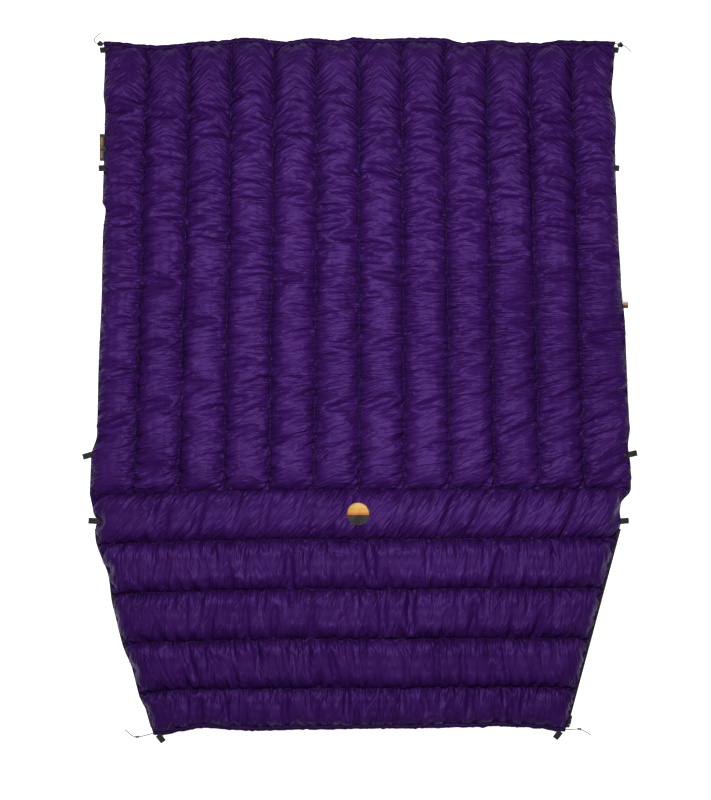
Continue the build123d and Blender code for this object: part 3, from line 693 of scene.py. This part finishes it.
def simulate_foot(waist):
    """The foot's outer cloth, filled and creased."""
    plan, part, number, counts = foot_plan(waist)
    rows, columns = plan.shape[:2]

    def wander(*cells):
        return patches((rows, columns), cells)

    bulge = np.sin(np.pi * part)[:, None] ** 0.8
    across = np.linspace(0, 1, columns)[None]
    ends = np.clip(np.minimum(across, 1 - across) * 26, 0, 1)

    def folds(tall, wide):
        lean = np.array([0.9, 0.1, 0.25, -0.1, 0.15])[number]
        return slanted(wander(rows / tall, columns / wide), lean, 0)

    start = plan.copy()
    start[..., 2] = SEAM_Z + (FOOT_BULGE * bulge + FOLD_DEPTH * folds(13, 4.2) * bulge**0.5) * ends
    free = np.ones((rows, columns))
    free[part == 0] = 0
    free[-1] = 0
    free[:, 0] = free[:, -1] = 0
    start[:, 0, 2] = start[:, -1, 2] = EDGE_Z
    full_y = FULL_ACROSS - 0.01 + 0.035 * wander(8, 30)
    full_x = FULL_ALONG + 0.005 + 0.045 * wander(8, 34)
    slant = np.array([0.11, 0.0, 0.03, -0.02, 0.0])[number][:, None]
    shear = slant + 0.09 * wander(9, 30)
    threads = thread_sets(plan, free, full_x, full_y, shear, BEND)
    push = FOOT_PUSH * (1 + 0.5 * wander(9, 24))
    cloth = settle(start, threads, free, push)
    cloth = crumpled(cloth, folds(9, 3.4), part[:, None], ends, bulge, (10, 24), free)
    return cloth, part, number, counts


body_cloth, body_part = simulate_body()
foot_cloth, foot_part, foot_number, foot_counts = simulate_foot(body_cloth[-1])


def body_folds():
    """Where each point lies across and along the folds of the body's cloth, in fold widths."""
    x, y = body_cloth[..., 0], body_cloth[..., 1]
    down = (HEAD_Y - y) / BODY_LENGTH
    middle = np.abs(body_part - 0.5)[None] * HEAD_PITCH
    near_head = np.clip(1.15 - down / 0.42, 0.1, 1)
    near_waist = np.clip((down - 0.5) / 0.3, 0, 1)
    along_y = y + 0.85 * near_head * middle - 0.75 * near_waist * (x + 0.7) * 0.35
    return np.stack([x * 17, along_y * 58, np.zeros_like(x)], -1)


def foot_folds():
    """The same for the foot, whose folds run along Y."""
    x, y = foot_cloth[..., 0], foot_cloth[..., 1]
    lean = np.array([0.75, 0.05, 0.2, -0.1, 0.1])[foot_number][:, None]
    return np.stack([(x - lean * (y - WAIST_Y)) * 58, y * 17, foot_number[:, None] * 3.0 + 0 * x], -1)


def declare(piece, node, body="quilt"):
    """The piece rides on a body, and the node it stands for, if any, is hidden."""
    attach(piece, body)
    if node:
        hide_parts(node)
    return piece


def outer_cloth(where, cloth, part, folds):
    """The body's or foot's outer cloth. part is each point's place between its seams, from 0 to 1."""
    near_seam = np.clip(1 - np.minimum(part, 1 - part) / 0.4, 0, 1) * np.ones(cloth.shape[:2])
    under = cloth - normals_of(cloth) * CLOTH
    piece = closed_sheet(f"{where}_outer_cloth", cloth, under, where, near_seam, folds)
    declare(piece, f"outer_shell_{where}")
    return piece


outer_cloth("body", body_cloth, body_part[None], body_folds())
foot_piece = outer_cloth("foot", foot_cloth, foot_part[:, None], foot_folds())


# ---- insulation, one closed piece for each chamber ----
LOWEST_DOWN = 0.0016


def down_fill(name, cloth, node):
    """A chamber's insulation, just inside its outer cloth and flat underneath."""
    inside = cloth.copy()
    for axis in (0, 1):
        inside = np.concatenate([inside.take([0], axis), inside, inside.take([-1], axis)], axis)
        count = inside.shape[axis] - 2
        behind, here, ahead = (inside.take(range(i, count + i), axis) for i in range(3))
        low = np.minimum(np.minimum(ahead[..., 2], behind[..., 2]), here[..., 2])
        inside = (ahead + here + behind) / 3
        inside[..., 2] = low
    inside[..., 2] = np.maximum(0.81 * inside[..., 2] - 0.0034, LOWEST_DOWN)
    under = inside.copy()
    under[..., 2] = LOWEST_DOWN - 0.0003
    piece = declare(closed_sheet(name, inside, under, "fill"), node)


for k in range(BODY_CHAMBERS):
    first = k * PER_BODY + (4 if k else 6)
    last = (k + 1) * PER_BODY - (3 if k < BODY_CHAMBERS - 1 else 5)
    inner = body_cloth[4:-4:2, first:last]
    down_fill(f"body_down_{k + 1:02d}", inner, f"body_fill_{k + 1:02d}")
for k in range(FOOT_CHAMBERS):
    first = int(np.argmax(foot_number == k))
    inner = foot_cloth[first + 1 : first + foot_counts[k], 6:-5:2]
    down_fill(f"foot_down_{k + 1}", inner, f"foot_fill_{k + 1}")


# ---- lining, one flat sheet under everything ----
def lining_piece():
    """Inner cloth, lying on the floor in the quilt's own outline."""
    y = np.linspace(0, 1, 181)[:, None]
    share = np.linspace(-1, 1, 97)[None]
    level = HEAD_Y - 0.002 + (FOOT_Y - HEAD_Y + 0.004) * y
    x = np.where(share < 0, -share * edge_x(-1, level), share * edge_x(1, level))
    top = head_y(x) - 0.002
    low = foot_y(x) + 0.002
    place = np.stack([x, top + (low - top) * y, np.full_like(x, 0.0003)], -1)
    place[..., 2] += np.abs(patches(x.shape, (60, 34))) * 0.0005
    upper = place + (0, 0, CLOTH)
    piece = closed_sheet("lining_cloth", upper, place, "lining")
    declare(piece, "lining")


# ---- tubes that follow a line ----
def along(line):
    """Unit directions of a line of points."""
    step = np.gradient(line, axis=0)
    return step / np.linalg.norm(step, axis=1, keepdims=True)


def sweep_rings(line, ring, sizes):
    """Rings of points round a line. ring is (sideways, up) shares; sizes are half width and half height."""
    forward = along(line)
    sideways = np.cross(forward, (0, 0, 1.0))
    sideways /= np.linalg.norm(sideways, axis=1, keepdims=True) + 1e-9
    up = np.cross(sideways, forward)
    offset = np.broadcast_to(ring, (len(line), *ring.shape[-2:])) * sizes[:, None]
    return line[:, None] + sideways[:, None] * offset[..., :1] + up[:, None] * offset[..., 1:]


def solid_tube(name, rings, material, holes=None):
    """A closed tube from rings of points; holes are the rings of its bore."""
    rows, columns = rings.shape[:2]
    outer = np.arange(rows * columns).reshape(rows, columns)
    round_outer = np.concatenate([outer, outer[:, :1]], 1)
    faces = [list(f) for f in quads(round_outer)]
    points = rings.reshape(-1, 3)
    if holes is None:
        faces.append(list(outer[0]))
        faces.append(list(outer[-1, ::-1]))
    else:
        inner = outer + rows * columns
        round_inner = np.concatenate([inner, inner[:, :1]], 1)
        faces += [list(f[::-1]) for f in quads(round_inner)]
        for row, turn in ((0, 1), (-1, -1)):
            a, b = round_outer[row], round_inner[row]
            faces += [[a[i], a[i + 1], b[i + 1], b[i]][::turn] for i in range(columns)]
        points = np.concatenate([points, holes.reshape(-1, 3)])
    return make_mesh(name, points, faces, material)


def circle(count):
    turn = np.linspace(0, 2 * math.pi, count, endpoint=False)
    return np.stack([np.cos(turn), np.sin(turn)], 1)


def channel_piece(name, node, half, edge, inwards):
    """A gathered drawcord channel: a ruffled flattened tube along a wavy line."""
    count = 640
    x = np.linspace(-half, half, count)
    y = edge(x) + inwards * HEM_DEPTH / 2
    line = np.stack([x, y, np.full(count, CORD_Z)], 1)
    ring = circle(20)
    ring = np.sign(ring) * np.abs(ring) ** 0.72
    gathers = patches((count, 20), (count / 5, 5)) * 0.24 + patches((count, 20), (count / 2.6, 6)) * 0.12
    ends = np.clip(np.minimum(x + half, half - x) / 0.02, 0, 1)[:, None]
    shape = ring[None] * (1 + gathers * ends)[..., None]
    sizes = np.stack([np.full(count, HEM_DEPTH / 2 - 0.0006), np.full(count, HEM_HEIGHT / 2 - 0.0004)], 1)
    rings = sweep_rings(line, shape, sizes)
    rings[..., 2] = np.maximum(rings[..., 2], 0.0004)
    bore = sweep_rings(line, ring * (0.62, 0.58), sizes)
    piece = solid_tube(name, rings, "channel", bore)
    return declare(piece, node)


def inner_cord(name, node, half, edge, inwards):
    """The drawcord inside its channel."""
    x = np.linspace(-half, half, 33)
    points = [(a, float(edge(np.array(a))) + inwards * HEM_DEPTH / 2, CORD_Z) for a in x]
    declare(cord_curve(name, points, "cord"), node)


# ---- free cord ends ----
def spline_line(curve_object):
    """Points along a curve's own spline."""
    bare = link(bpy.data.objects.new("bare_line", curve_object.data.copy()))
    bare.data.bevel_depth = 0
    graph = bpy.context.evaluated_depsgraph_get()
    mesh = bpy.data.meshes.new_from_object(bare.evaluated_get(graph))
    line = np.array([v.co[:] for v in mesh.vertices])
    bpy.data.objects.remove(bare)
    bpy.data.meshes.remove(mesh)
    return line


def barrel_knot(name, node, line, middle):
    """A cord wound round itself, at its middle point on the line."""
    near = int(np.argmin(np.linalg.norm(line - middle, axis=1)))
    forward = Vector(along(line)[near])
    frame_of = Matrix.LocRotScale(Vector(line[near]), forward.to_track_quat("X", "Z"), None)
    turn = np.linspace(0, 1, 170)
    angle = turn * 2 * math.pi * 4.2
    radius = 0.0021 * np.clip(np.minimum(turn, 1 - turn) * 14, 0.35, 1)
    place = np.stack([(turn - 0.5) * 0.0096, radius * np.cos(angle), radius * np.sin(angle)], 1)
    place[:, 0] += 0.0011 * np.sin(angle * 0.5) * (1 - np.abs(2 * turn - 1))
    world = np.array([frame_of @ Vector(p) for p in place])
    rings = sweep_rings(world, circle(10), np.full((170, 2), CORD_DIAMETER / 2))
    return declare(solid_tube(name, rings, "cord"), node)


def cord_end(name, line):
    """The fused bead at a cord's cut end."""
    back = along(line)[-1]
    share = np.linspace(-1, 1, 9)
    size = np.sqrt(np.clip(1 - share**4, 0.02, 1)) * (CORD_DIAMETER / 2 + 0.00025)
    centre = line[-1] - back * 0.0014
    rings = sweep_rings(centre + back * share[:, None] * 0.0016, circle(12), np.stack([size, size], 1))
    return declare(solid_tube(name, rings, "plastic"), None)


def lock_pieces(name):
    return (f"cord_lock_{name}", f"lock_plunger_{name}", f"lock_coil_{name}")


def lock_coil(name):
    """The lock's spring, which the plunger presses down."""
    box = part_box(f"lock_spring_{name}")
    joint = next(j for j in frame["joints"] if j["name"] == f"lock_plunger_{name}_press")
    axis = Vector(joint["axis"]).normalized()
    axis = axis if axis.y < 0 else -axis
    middle = (box[0] + box[1]) / 2
    place = axis.to_track_quat("X", "Z").to_matrix()
    turn = np.linspace(0, 1, 120)
    angle = turn * 2 * math.pi * 4
    height = 0.0031
    coil = np.stack([(turn - 0.5) * height, 0.00145 * np.cos(angle), 0.00145 * np.sin(angle)], 1)
    line = np.array([place @ Vector(p) + middle for p in coil])
    rings = sweep_rings(line, circle(8), np.full((120, 2), 0.00019))
    piece = solid_tube(f"lock_coil_{name}", rings, "steel")
    declare(piece, f"lock_spring_{name}", f"cord_lock_{name}")
    tuple(axis)
    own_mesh(piece)


def free_cords():
    for name in ("left", "right"):
        lock_coil(name)
    plans = (
        ("head_cord_right", HEAD_TAIL_RIGHT, 1, HEAD_HEM, 0.0510, lock_pieces("right"), 0.0),
        ("head_cord_left", HEAD_TAIL_LEFT, -1, HEAD_HEM, 0.0547, lock_pieces("left"), 0.0),
        ("foot_cord_right", FOOT_TAIL_RIGHT, 1, FOOT_HEM, 0.0749, (), 0.0),
        ("foot_cord_left", FOOT_TAIL_LEFT, -1, FOOT_HEM, 0.0870, (), 0.009),
    )
    for node, tail, side, hem, length, on_it, drop in plans:
        points = tail_points(tail, side, hem, drop)
        curve = cord_curve(f"{node}_braid", points, "cord")
        declare(curve, node)
        line = spline_line(curve)
        pieces = [*on_it, cord_end(f"{node}_end", line)]
        if not on_it:
            middle = (points[2] + points[3]) / 2
            knot_node = node.replace("cord", "knot")
            pieces.append(barrel_knot(f"{knot_node}_turns", knot_node, line, np.array(middle)))


# ---- ribbons: tabs, loops and labels ----
def ribbon(name, line, width, thick, ripple=0.0):
    """A ribbon that follows a line of points, with its width along Y."""
    steps = np.linspace(-0.5, 0.5, 9)
    forward = along(line)
    across = np.cross(forward, np.cross((0, 1.0, 0), forward))
    across = across / (np.linalg.norm(across, axis=1, keepdims=True) + 1e-9)
    grid = line[:, None] + across[:, None] * (steps * width)[None, :, None]
    normal = np.cross(forward, across)[:, None]
    grid = grid + normal * (ripple * np.sin(steps * 7 + 1))[None, :, None]
    above, below = grid + normal * thick / 2, grid - normal * thick / 2
    return closed_sheet(name, above, below, "ribbon")


def turned(points, angle, centre):
    """Points turned about the vertical through the centre, in degrees."""
    turn = np.array(Matrix.Rotation(math.radians(angle), 3, "Z"))
    return (np.asarray(points) - centre) @ turn.T + centre


def round_corners(points, steps=6):
    """A smooth line through the corners of a short path."""
    path = np.asarray(points, float)
    t = np.linspace(0, len(path) - 1, (len(path) - 1) * steps + 1)
    dense = np.stack([np.interp(t, np.arange(len(path)), path[:, c]) for c in range(3)], 1)
    for _ in range(steps):
        dense[1:-1] = (dense[:-2] + 2 * dense[1:-1] + dense[2:]) / 4
    return dense


def loop_piece(name, side, from_head, reach, tilt):
    """A ribbon loop: sewn down on the hem, out, round its fold and back underneath."""
    y = HEAD_Y - from_head
    edge = float(edge_x(side, np.array(y)))
    top, low = 0.0076, 0.0022
    path = [
        (-0.011, 0.0052), (-0.004, 0.0056), (0.004, top - 0.0008), (reach * 0.6, top),
        (reach - 0.003, top - 0.0004), (reach, (top + low) / 2), (reach - 0.003, low + 0.0003),
        (reach * 0.5, low), (0.002, low + 0.0003), (-0.009, 0.0034),
    ]
    line = round_corners([(edge + side * u, y, w) for u, w in path])
    piece = ribbon(name, line, 0.0158, 0.001, 0.00018)
    mesh = piece.data
    points = np.array([v.co[:] for v in mesh.vertices])
    points = turned(points, tilt, np.array((edge, y, 0)))
    mesh.vertices.foreach_set("co", points.astype(np.float32).ravel())
    mesh.update()
    return piece


def joined(name, pieces):
    """Several pieces as one."""
    chosen = {"selected_editable_objects": pieces, "selected_objects": pieces}
    with bpy.context.temp_override(active_object=pieces[0], **chosen):
        bpy.ops.object.join()
    pieces[0].name = name
    return pieces[0]


# Pad loops: how far each reaches past its edge, and how it's turned, from the head to the foot.
LOOPS_FROM_HEAD = (0.344, 1.120, 1.300)
LOOP_REACHES = {"left": (0.013, 0.0225, 0.0225), "right": (0.010, 0.0225, 0.0215)}
LOOP_TILTS = {"left": (3, 17, -4), "right": (-5, 14, 5)}


def trim():
    for side, name in ((-1, "left"), (1, "right")):
        loops = zip(LOOPS_FROM_HEAD, LOOP_REACHES[name], LOOP_TILTS[name])
        loops = [loop_piece(f"loop_{name}_{i}", side, *loop) for i, loop in enumerate(loops)]
        declare(joined(f"grosgrain_loops_{name}", loops), f"pad_loops_{name}")
        head_ribbon(side, name)
        foot_ribbon(side, name)
    flag("left_label", "side_label", -1, LABEL_REACH)
    flag("right_tag", "small_tag", 1, TAG_REACH)


def head_ribbon(side, name):
    """A tab that holds its side's half of the neck snap."""
    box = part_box(f"head_tab_{name}")
    y = (box[0].y + box[1].y) / 2
    inner, outer = (box[0].x, box[1].x) if side > 0 else (box[1].x, box[0].x)
    line = round_corners([
        (inner, y, 0.0023), ((inner + outer) / 2, y, 0.0021),
        (outer - side * 0.005, y, 0.0021), (outer, y - 0.001, 0.0034),
    ])
    declare(ribbon(f"head_ribbon_{name}", line, 0.0155, 0.0009), f"head_tab_{name}")


def foot_ribbon(side, name):
    """A folded ribbon hanging from the foot channel's corner, leaning inwards."""
    hang = -0.009 if side < 0 else 0
    start = np.array((side * (FOOT_HALF - 0.013), FOOT_Y + 0.002 + hang, CORD_Z + 0.0045))
    lean = math.radians(35)
    down = np.array((-side * math.sin(lean), -math.cos(lean), 0))
    across = np.array((down[1], -down[0], 0))
    distance = np.array([0, 6, 11, 18, 23.5, 24.5, 23.5, 17, 10, 4]) / 1000
    height = np.array([0.6, 0.2, -1.4, -3.6, -5.2, -6.0, -6.8, -6.2, -5.0, -3.8]) / 1000
    line = round_corners(start + down * distance[:, None] + np.array((0, 0, 1.0)) * height[:, None])
    steps = np.linspace(-0.5, 0.5, 9)
    grid = line[:, None] + across * (steps * 0.0155)[None, :, None]
    up = normals_of(grid) * 0.00045
    grid[..., 2] = np.maximum(grid[..., 2], 0.0008)
    piece = closed_sheet(f"foot_ribbon_{name}", grid + up, grid - up, "ribbon")
    declare(piece, f"foot_tab_{name}")


def flag(name, node, side, reach):
    """A woven label that stands out from the side edge, a little curled."""
    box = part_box(node)
    y = np.linspace(box[1].y, box[0].y, 40)[:, None]
    out = np.linspace(-0.007, reach, 14)[None]
    x = edge_x(side, y.mean()) + side * out + y * 0
    curl = 0.0016 * np.clip(out / reach, 0, 1) ** 2 + 0.0004 * np.sin(y * 130)
    grid = np.stack([x, y + 0 * x, 0.0031 + curl], -1)
    lower = grid - (0, 0, 0.0006)
    declare(closed_sheet(name, grid, lower, node), node)


# ---- round patch on the first foot chamber ----
def patch():
    tree = BVHTree.FromObject(foot_piece, bpy.context.evaluated_depsgraph_get())
    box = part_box("round_patch")
    centre = ((box[0].x + box[1].x) / 2 - 0.003, (box[0].y + box[1].y) / 2 + 0.002)
    radius = 0.0298
    rings, spokes = 12, 72

    def height(x, y):
        hit = tree.ray_cast(Vector((x, y, 0.2)), Vector((0, 0, -1)))[0]
        return hit.z if hit else 0.0

    r = np.linspace(0, 1, rings + 1)[1:, None] * radius
    a = np.linspace(0, 2 * math.pi, spokes, endpoint=False)[None]
    x, y = centre[0] + r * np.cos(a), centre[1] + r * np.sin(a)
    z = np.array([[height(p, q) for p, q in zip(row_x, row_y)] for row_x, row_y in zip(x, y)])
    raw = z.copy()
    for _ in range(14):
        z = (z + np.roll(z, 1, 1) + np.roll(z, -1, 1)) / 3
        z[1:-1] = (z[:-2] + z[1:-1] * 2 + z[2:]) / 4
    z += max(0.0, float((raw - z).max()) * 0.9) + 0.0006
    middle = (*centre, float(z[0].mean()))
    top = np.concatenate([np.stack([x, y, z], -1).reshape(-1, 3), [middle]])
    under = top - (0, 0, 0.0009)
    n = rings * spokes
    ids = np.arange(n).reshape(rings, spokes)
    ids = np.concatenate([ids, ids[:, :1]], 1)
    faces = [list(f) for f in quads(ids)] + [[ids[0, i], ids[0, i + 1], n] for i in range(spokes)]
    faces += [[p + n + 1 for p in f[::-1]] for f in faces]
    rim_ids = ids[-1]
    faces += [
        [rim_ids[i + 1], rim_ids[i], rim_ids[i] + n + 1, rim_ids[i + 1] + n + 1] for i in range(spokes)
    ]
    disc = make_mesh("round_badge", np.concatenate([top, under]), faces, "patch")
    declare(disc, "round_patch")
    count = 360
    turn = np.linspace(0, 2 * math.pi, count, endpoint=False)
    rim_z = np.interp(turn, a[0], z[-1], period=2 * math.pi) - 0.0001
    rim = np.stack([centre[0] + radius * np.cos(turn), centre[1] + radius * np.sin(turn), rim_z], 1)
    closed = np.concatenate([rim, rim[:1]])
    size = 0.0011 + 0.00022 * np.sin(turn * 90)
    size = np.append(size, size[0])
    rings_of = sweep_rings(closed, circle(8), np.stack([size * 1.15, size * 0.8], 1))
    declare(solid_tube("badge_border", rings_of, "border"), None)


# ---- zip ----
def zip_line(side, inset, z):
    """A line along the foot's side edge, from the corner to the top stop."""
    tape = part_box("zip_tape_left" if side < 0 else "zip_tape_right")
    y = np.linspace(tape[0].y, tape[1].y, 300)
    x = edge_x(side, y) + side * inset
    return np.stack([x, y, np.full(300, z)], 1)


def resample(line, step):
    lengths = np.concatenate([[0], np.cumsum(np.linalg.norm(np.diff(line, axis=0), axis=1))])
    at = np.arange(0, lengths[-1], step)
    return np.stack([np.interp(at, lengths, line[:, c]) for c in range(3)], 1)


def zip_pieces():
    for side, name in ((-1, "left"), (1, "right")):
        middle = zip_line(side, -0.0008, 0.0025)
        forward = along(middle)
        out = np.cross(forward, (0, 0, 1.0))
        out *= np.sign(out[:, :1]) * side
        steps = np.linspace(-0.0050, 0.0046, 8)
        grid = middle[:, None] + out[:, None] * steps[None, :, None]
        inner = np.clip(-steps / 0.005, 0, 1)
        grid[..., 2] += patches((300, 1), (60, 1)) * 0.0003 * inner[None] * 2
        low = grid - (0, 0, 0.0005)
        tape = closed_sheet(f"zip_ribbon_{name}", grid, low, "tape")
        declare(tape, f"zip_tape_{name}")
        low_end, high_end = (corner.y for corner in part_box(f"zip_coil_{name}"))
        line = zip_line(side, 0.0025, 0.0037)
        line = line[(line[:, 1] > low_end) & (line[:, 1] < high_end)]
        step = 0.00014
        line = resample(line, step)
        angle = np.arange(len(line)) * step / 0.0014 * 2 * math.pi
        way = along(line)
        sideways = np.cross(way, (0, 0, 1.0))
        wire = line + sideways * (0.00115 * np.cos(angle))[:, None]
        wire[:, 2] += 0.0007 * np.sin(angle)
        rings = sweep_rings(wire, circle(5), np.full((len(wire), 2), 0.00036))
        teeth = solid_tube(f"zip_teeth_{name}", rings, "coil")
        declare(teeth, f"zip_coil_{name}")
    stops = []
    for side in (-1, 1):
        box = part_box("zip_top_stops")
        line = zip_line(side, 0.0025, 0.0035)
        share = np.linspace(0.1, 0.9, 8)
        y = box[0].y + (box[1].y - box[0].y) * share
        line = np.stack([np.interp(y, line[:, 1], line[:, c]) for c in range(3)], 1)
        size = np.array([0.55, 0.9, 1, 1, 1, 1, 0.9, 0.55])[:, None] * (0.0015, 0.0013)
        rings = sweep_rings(line, circle(12), size)
        stops.append(solid_tube(f"stop_{side + 1}", rings, "black_metal"))
    declare(joined("zip_stop_crimps", stops), "zip_top_stops")


# ---- seams' stitches ----
def stitches():
    """Short thread stitches along every seam, as one piece."""
    box = np.array([(i, j, k) for i in (-1, 1) for j in (-1, 1) for k in (-1, 1)], float)
    sides = np.array([(0, 1, 3, 2), (4, 6, 7, 5), (0, 4, 5, 1), (2, 3, 7, 6), (0, 2, 6, 4), (1, 5, 7, 3)])
    lines = [body_cloth[1:-1, k * PER_BODY] for k in range(1, BODY_CHAMBERS)]
    lines += [foot_cloth[int(np.argmax(foot_number == k)), 2:-2] for k in range(FOOT_CHAMBERS)]
    points, faces = [], []
    for line in lines:
        dots = resample(line, 0.004)
        way = along(dots)
        sideways = np.cross(way, (0, 0, 1.0))
        up = np.cross(sideways, way)
        for dot, w, s, u in zip(dots, way, sideways, up):
            frame_of = np.stack([w * 0.0013, s * 0.00026, u * 0.00022])
            faces.append(sides + 8 * len(points))
            points.append(box * (1, 0.9, 1) @ frame_of + dot + (0, 0, 0.00045))
    piece = make_mesh("seam_thread", np.concatenate(points), np.concatenate(faces), "thread")
    declare(piece, None)


# ---- CAD nodes that keep their shape ----
def paint(node, material):
    data = nodes[node].data
    data.materials.clear()
    data.materials.append(MATERIALS[material])


lining_piece()
for end, half, edge, inwards in (("head", HEAD_HALF, head_y, -1), ("foot", FOOT_HALF, foot_y, 1)):
    channel_piece(f"{end}_hem", f"{end}_channel", half, edge, inwards)
    inner_cord(f"{end}_inner_cord", f"{end}_drawcord", half, edge, inwards)
free_cords()
trim()
patch()
zip_pieces()
stitches()
PAINTED = {
    "plastic": ("cord_lock_left", "lock_plunger_left", "cord_lock_right", "lock_plunger_right"),
    "snap": ("snap_post_left", "snap_post_right", "snap_socket_right", "snap_stud_left"),
    "black_metal": ("zip_retainer_box", "zip_insertion_pin", "zip_slider", "zip_pull"),
}
for material, kept in PAINTED.items():
    for node in kept:
        paint(node, material)


# ---- floor and light ----
FLOOR_HALF = 9
FLOOR_GLOW = 0.85
WORLD_LIGHT = 0.07
LIGHTS = (("key", (0, 0.3, 1.85), 0.95, 38), ("fill", (0, -1.9, 3.3), 1.8, 8))  # place, size, watts


def stage():
    m = Nodes("pale_floor", 0.9)
    m.feed("Base Color", m.ramp(m.noise(2, 2), ((0.3, (0.93, 0.93, 0.93)), (0.7, (0.95, 0.95, 0.95)))))
    m.set("Emission Color", (1, 1, 1, 1))
    m.set("Emission Strength", FLOOR_GLOW)
    corners = [(x * FLOOR_HALF, y * FLOOR_HALF, 0) for x, y in ((-1, -1), (1, -1), (1, 1), (-1, 1))]
    MATERIALS["floor"] = m.material
    make_mesh("floor", corners, [(0, 1, 2, 3)], "floor", False)
    for name, place, size, power in LIGHTS:
        data = bpy.data.lights.new(name, "AREA")
        data.size = size
        data.energy = power
        light = link(bpy.data.objects.new(name, data))
        light.location = place
        light.rotation_euler = (Vector((0, 0, 0)) - Vector(place)).to_track_quat("-Z", "Y").to_euler()
        light.visible_camera = False
    scene = bpy.context.scene
    world = bpy.data.worlds.new("studio")
    world.use_nodes = True
    background = world.node_tree.nodes["Background"].inputs
    background["Color"].default_value = (1, 1, 1, 1)
    background["Strength"].default_value = WORLD_LIGHT
    scene.world = world
    scene.view_settings.view_transform = "Standard"


stage()

bpy.context.view_layer.update()
